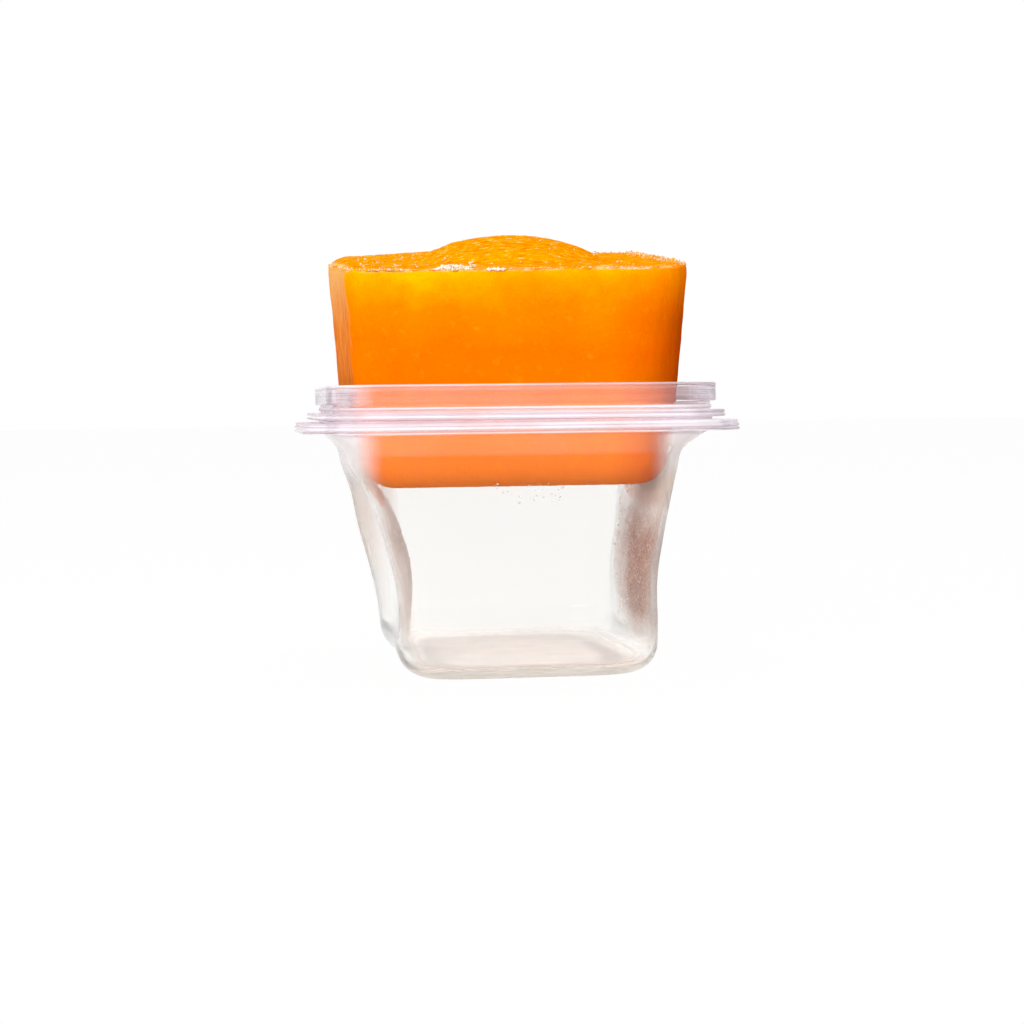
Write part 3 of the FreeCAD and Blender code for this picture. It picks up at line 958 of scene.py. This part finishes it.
def cup_material():
    """Clear soft plastic: milky where it is thick, fogged on the two squeezed walls."""
    n = Nodes("clear_soft_plastic")
    place = n.position()
    x, y, height = n.split(place)
    aside = n.maths("ABSOLUTE", x, 0)
    on_right = n.spread(x, *RIGHT_HALF)
    fogged = fog_share(n, y, height, on_right)
    haze = n.add("ShaderNodeBsdfPrincipled", Roughness=0.5, IOR=CUP_IOR)
    n.link(haze_colour(n, place, y, aside, height, fogged, on_right), haze.inputs["Base Color"])
    share = haze_share(n, place, x, y, aside, height, fogged, on_right)
    mixed = n.mix_shaders(share, clear_plastic(n, place, height), haze.outputs["BSDF"])

    depth = n.add("ShaderNodeVolumeAbsorption")
    depth.inputs["Color"].default_value = DEPTH_TINT
    depth.inputs["Density"].default_value = DEPTH_DENSITY
    n.link(depth.outputs["Volume"], n.output.inputs["Volume"])
    return n.finish(let_light_through(n, mixed))


# ---------------------------------------------------------------- the water's material

WATER_CLEAR, WATER_GREY = (0.97, 0.97, 0.98, 1), (0.88, 0.86, 0.87, 1)
WATER_PAINTED_HIGHLIGHT, WATER_HIGHLIGHT_SHARE = linear(250, 244, 238), 0.4


def drop_material():
    """Water beads on the plastic, with a pale matte white mixed in as a painted highlight."""
    n = Nodes("condensed_water")
    water = n.add("ShaderNodeBsdfPrincipled", Roughness=0.02, IOR=1.33)
    water.inputs["Transmission Weight"].default_value = 1.0
    uneven = n.spread(n.noise(n.position(), 300, 2.0), 0.3, 0.7)
    n.link(n.mix(uneven, WATER_CLEAR, WATER_GREY), water.inputs["Base Color"])
    # painted highlight: a pale matte white mixed into the clear water
    pale = n.add("ShaderNodeBsdfPrincipled", Roughness=0.3)
    pale.inputs["Base Color"].default_value = WATER_PAINTED_HIGHLIGHT
    return n.finish(n.mix_shaders(WATER_HIGHLIGHT_SHARE, water.outputs["BSDF"], pale.outputs["BSDF"]))


# ---------------------------------------------------------------- the block's material

# The faces' colours from the underside (0) to the top edge (1): yellower towards the top, partly
# painted light from above, and darker at the underside as painted shade.
FACE_STOPS = (
    (0.0, linear(236, 112, 0)), (0.22, linear(250, 138, 2)), (0.46, linear(253, 126, 0)),
    (0.62, linear(253, 118, 0)), (0.78, linear(253, 132, 0)), (0.88, linear(253, 156, 0)),
    (0.97, linear(253, 184, 0)),
)
# The colours of the part that the cup holds, from the underside (0) to the rim (1), darker towards
# the underside as painted shade of the block's rounded foot.
HELD_STOPS = (
    (0.0, linear(236, 114, 0)), (0.58, linear(239, 118, 0)),
    (0.80, linear(250, 134, 4)), (1.0, linear(250, 136, 4)),
)
FACE_SPECKS = linear(255, 160, 20)
# The top's colours, between its strands (0) and on them (1).
CROWN_STOPS = (
    (0.0, linear(228, 112, 0)), (0.5, linear(248, 152, 0)),
    (0.8, linear(252, 168, 10)), (1.0, linear(255, 216, 140)),
)
# The sides' painted shade and sheen: between the scores and on them, and above them. The left side
# is painted shade with pale painted sheen on the scores and above them, the right side's browns
# are painted shade, and the back-left corner gets a pale painted sheen.
LEFT_SCORES, LEFT_ABOVE = (linear(220, 98, 6), linear(250, 154, 70)), linear(250, 178, 104)
RIGHT_SCORES, RIGHT_ABOVE = (linear(166, 50, 0), linear(192, 62, 0)), linear(255, 116, 0)
REAR_PAINTED_SHEEN = linear(253, 222, 200)
SIDE_PAINT_SHARE = 0.92
FROST_WHITE = linear(255, 244, 226)

# Shares that depend on a place, as for the cup: start and full, in metres, and then its two ends.
FACE_LOW = 0.040                  # where the faces' colours start
FACE_TALL = (-0.037, 0.037, 0.0475, 0.0549)       # how tall they are, from front to back
HELD, HELD_ENDS = (0.040, 0.052), (0.054, 0.051)
BLOCK_RIGHT_HALF = (-0.005, 0.005)
RIGHT_SHADE = (0.018, 0.0345, 0.0, 0.90)
RIGHT_SHADE_UP_TO, SIDES_SHADED_BELOW = (0.0885, 0.0860), (0.0870, 0.0750)
SIDE_FACING = (0.95, 0.98)        # of the normal, as the next ones are
REAR_FROM, REAR_TO, REAR_FACING = (0.0, 0.2), (0.6, 0.25), (-0.35, -0.65)
TOP_FACING = (0.45, 0.85)


def face_colour(n, place, y, z):
    """Orange faces with pale specks: yellower at the top, partly painted light from above, and
    browner in the cup towards the underside, painted shade of the rounded foot.
    """
    height = n.maths("DIVIDE", n.maths("SUBTRACT", z, FACE_LOW), n.spread(y, *FACE_TALL))
    wander = n.spread(n.noise(place, 60, 5.0, 0.6), 0.3, 0.7, -0.09, 0.09)
    # orange, with painted light towards the top edge
    base = n.ramp(n.plus(height, wander), *FACE_STOPS)
    # painted shade: darker towards the block's rounded foot
    held = n.ramp(n.spread(z, *HELD), *HELD_STOPS)
    base = n.mix(n.spread(z, *HELD_ENDS), base, held)
    specks = n.spread(n.noise(place, 420, 4.0, 0.7), 0.56, 0.70, 0.0, 0.35)
    return n.mix(specks, base, FACE_SPECKS)


def sides_shade_and_sheen(n, place, x, z, normal):
    """Where the sides get painted shade and sheen, the scores on them, and the sides' colour: pale
    painted sheen on the left side and the back-left corner, dark painted shade on the right corner
    and lower down.
    """
    rear = n.times(n.spread(normal[1], *REAR_FROM), n.spread(normal[1], *REAR_TO),
                   n.spread(normal[0], *REAR_FACING))
    turned = n.spread(n.maths("ABSOLUTE", normal[0], 0), *SIDE_FACING)
    turned = n.maths("MAXIMUM", turned, rear)
    # Painted shade: the right corner darkens towards its edge, as if turned from the light.
    shaded = n.spread(x, *RIGHT_SHADE)
    right = n.spread(x, *BLOCK_RIGHT_HALF)
    side_shade_and_sheen = n.times(n.maths("MAXIMUM", turned, shaded),
                     n.between(right, 1.0, n.spread(z, *RIGHT_SHADE_UP_TO)))
    scores = n.noise(n.scaled(place, (1.0, 1.0, 0.14)), 520, 4.0, 0.65)
    scores = n.spread(scores, 0.36, 0.66)
    # Painted shade lower on the sides, with pale painted sheen above them on the left.
    low = n.spread(z, *SIDES_SHADED_BELOW)
    left_side = n.mix(low, LEFT_ABOVE, n.mix(scores, *LEFT_SCORES))
    # pale painted sheen at the back-left corner
    left_side = n.mix(rear, left_side, REAR_PAINTED_SHEEN)
    right_side = n.mix(low, RIGHT_ABOVE, n.mix(scores, *RIGHT_SCORES))
    return side_shade_and_sheen, scores, n.mix(right, left_side, right_side)


def puree_material():
    """Frozen squash puree: orange and frosted at its top, yellower at the top partly as painted
    light from above, with painted shade on the right corner and painted sheen on the left side.
    """
    n = Nodes("frozen_squash_puree")
    place = n.position()
    x, y, z = n.split(place)
    normal = n.normal()
    side_shade_and_sheen, scores, side_colour = sides_shade_and_sheen(n, place, x, z, normal)
    # The sides' painted shade and sheen laid over the faces' colour.
    base = n.mix(n.times(side_shade_and_sheen, SIDE_PAINT_SHARE), face_colour(n, place, y, z), side_colour)
    upward = n.spread(normal[2], *TOP_FACING)
    drift = n.scaled(place, (0.30, 1.0, 1.0), (0.0, 0.25, 0.5))
    strands = n.spread(n.noise(drift, 1300, 5.0, 0.75), 0.36, 0.66)
    base = n.mix(upward, base, n.ramp(strands, *CROWN_STOPS))
    frost = n.add("ShaderNodeAttribute", attribute_name="frost").outputs["Fac"]
    base = n.mix(frost, base, FROST_WHITE)

    body = n.add("ShaderNodeBsdfPrincipled", Roughness=0.5, IOR=1.33)
    n.link(base, body.inputs["Base Color"])
    body.inputs["Specular IOR Level"].default_value = 0.0
    body.inputs["Subsurface Weight"].default_value = 0.15
    body.inputs["Subsurface Radius"].default_value = (1.0, 0.35, 0.08)
    body.inputs["Subsurface Scale"].default_value = 0.0025
    grains = n.plus(n.noise(place, 700, 4.0), n.noise(place, 2600, 2.0))
    relief = n.plus(grains, n.times(side_shade_and_sheen, scores), n.times(upward, strands))
    n.link(n.bump(relief, 0.3, 0.0004), body.inputs["Normal"])
    return n.finish(body.outputs["BSDF"])


def paint(piece, material):
    piece.data.materials.clear()
    piece.data.materials.append(material)


# ---------------------------------------------------------------- floor, world and lamps

WHITE = (1.0, 1.0, 1.0, 1.0)
FLOOR_REACH = 6.0
FLOOR_GREY = (0.9, 0.9, 0.9, 1)
FLOOR_GLOW = 0.97         # share of the floor's look that is plain white
WORLD_LIGHT, WORLD_SEEN = 0.5, 1.0
# Name, place, width and height in metres, and power in watts.
LAMPS = (
    ("front_softbox", (-0.45, -0.90, 0.55), 0.7, 0.5, 8.0),
    ("top_softbox", (0.0, 0.1, 0.9), 0.6, 0.6, 3.0),
)
LAMPS_AIM = (0, 0, 0.06)


def seen_directly(tree):
    """One where a camera, mirror or glass ray looks, zero for light that is being gathered."""
    path = tree.nodes.new("ShaderNodeLightPath")
    total = path.outputs["Is Camera Ray"]
    for name in ("Is Glossy Ray", "Is Transmission Ray"):
        either = tree.nodes.new("ShaderNodeMath")
        either.operation = "MAXIMUM"
        tree.links.new(total, either.inputs[0])
        tree.links.new(path.outputs[name], either.inputs[1])
        total = either.outputs["Value"]
    return total


def add_floor():
    mesh = bpy.data.meshes.new("floor")
    corners = [(-1, -1), (1, -1), (1, 1), (-1, 1)]
    mesh.from_pydata([(x * FLOOR_REACH, y * FLOOR_REACH, 0) for x, y in corners], [],
                     [(0, 1, 2, 3)])
    floor = bpy.data.objects.new("floor", mesh)
    bpy.context.collection.objects.link(floor)
    n = Nodes("pale_floor")
    matte = n.add("ShaderNodeBsdfDiffuse")
    matte.inputs["Color"].default_value = FLOOR_GREY
    glow = n.add("ShaderNodeEmission")
    glow.inputs["Color"].default_value = WHITE
    share = n.times(seen_directly(n.tree), FLOOR_GLOW)
    mixed = n.mix_shaders(share, matte.outputs["BSDF"], glow.outputs["Emission"])
    paint(floor, n.finish(mixed))


def set_world():
    world = bpy.data.worlds.new("studio")
    world.use_nodes = True
    tree = world.node_tree
    background = tree.nodes["Background"]
    background.inputs["Color"].default_value = WHITE
    strength = tree.nodes.new("ShaderNodeMapRange")
    strength.inputs["To Min"].default_value = WORLD_LIGHT
    strength.inputs["To Max"].default_value = WORLD_SEEN
    tree.links.new(seen_directly(tree), strength.inputs["Value"])
    tree.links.new(strength.outputs["Result"], background.inputs["Strength"])
    bpy.context.scene.world = world


def add_lamp(name, place, width, height, power):
    data = bpy.data.lights.new(name, "AREA")
    data.shape = "RECTANGLE"
    data.size = width
    data.size_y = height
    data.energy = power
    lamp = bpy.data.objects.new(name, data)
    lamp.location = place
    aim = Vector(LAMPS_AIM) - Vector(place)
    lamp.rotation_euler = aim.to_track_quat("-Z", "Y").to_euler()
    lamp.visible_camera = False
    bpy.context.collection.objects.link(lamp)


def main():
    bpy.context.scene.view_settings.view_transform = "Standard"
    add_camera()
    add_floor()
    set_world()
    for lamp in LAMPS:
        add_lamp(*lamp)
    paint(build_cup(), cup_material())
    puree = puree_material()
    for piece in (build_block(), build_crumbs(), build_frost()):
        paint(piece, puree)
    paint(build_beads(), drop_material())


main()
